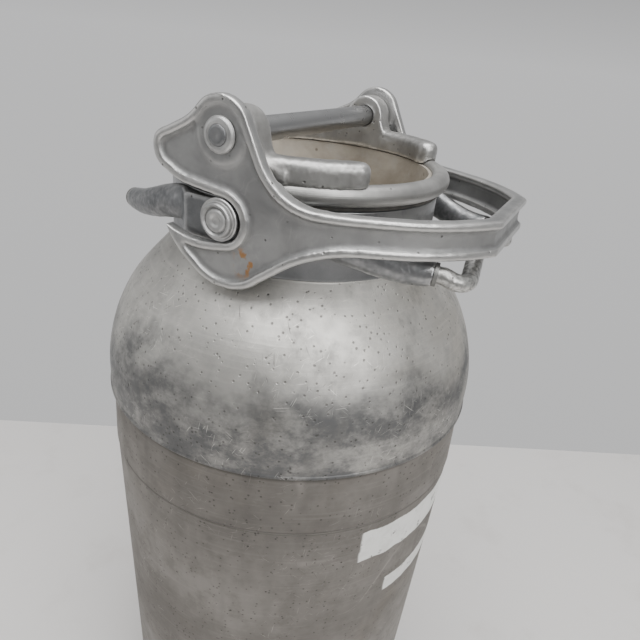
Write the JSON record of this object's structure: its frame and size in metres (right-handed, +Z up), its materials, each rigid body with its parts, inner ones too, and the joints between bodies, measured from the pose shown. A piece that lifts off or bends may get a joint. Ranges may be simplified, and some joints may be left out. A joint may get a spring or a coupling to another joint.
{
  "type": "milk churn",
  "caption": "Aluminium milk churn: tapered can with a domed shoulder, side castings with rod handles, and a pan lid clamped by a forked lever that hooks under two fixed pins.",
  "frame": {"origin": "on the can's axis, in the plane that the foot ring stands on", "axes": "+Z up the can's axis, +X towards the front loop of the lever, +Y towards the far pin"},
  "size_m": [0.2879, 0.2828, 0.6129],
  "materials": {
    "can_aluminium": "dull, stained and scratched",
    "dome_aluminium": "brushed by wear, with dark smudges",
    "dark_casting": "oxidised casting",
    "bright_rivet": "worn bright",
    "handle_rod": "pitted",
    "lid_aluminium": "dull rolled edge",
    "stained_pan": "brown stained",
    "gasket_rubber": "matte",
    "lid_casting": "pitted sand casting",
    "bar_steel": "dull grey",
    "lever_casting": "satin casting with polished worn edges"
  },
  "bodies": {
    "can": {"foot_ring": "can_aluminium", "base_dish": "can_aluminium", "body_shell": "can_aluminium", "upper_band": "can_aluminium", "shoulder_dome": "dome_aluminium", "neck_ring": "dark_casting", "near_side_casting": "dark_casting", "far_side_casting": "dark_casting", "clamp_pins": "bright_rivet", "front_handle": "handle_rod", "rear_handle": "handle_rod", "handle_ferrules": "handle_rod"},
    "lid": {"lid_rim": "lid_aluminium", "lid_pan": "stained_pan", "lid_gasket": "gasket_rubber", "near_lid_bracket": "lid_casting", "far_lid_bracket": "lid_casting", "pivot_bar": "bar_steel", "pivot_washers": "bright_rivet"},
    "lever": {"clamp_lever": "lever_casting"}
  },
  "joints": [
    {"name": "lid_lift", "type": "slide", "parent": "can", "child": "lid", "axis": [0, 0, 1], "range_m": [0, 0.026]},
    {"name": "lever_swing", "type": "hinge", "parent": "lid", "child": "lever", "pos_m": [0.004, 0, 0.592], "axis": [0, -1, 0], "range_deg": [0, 110]}
  ],
  "couplings": [
    {"joint": "lid_lift", "follows": "lever_swing", "m_per_rad": 0.0135}
  ]
}
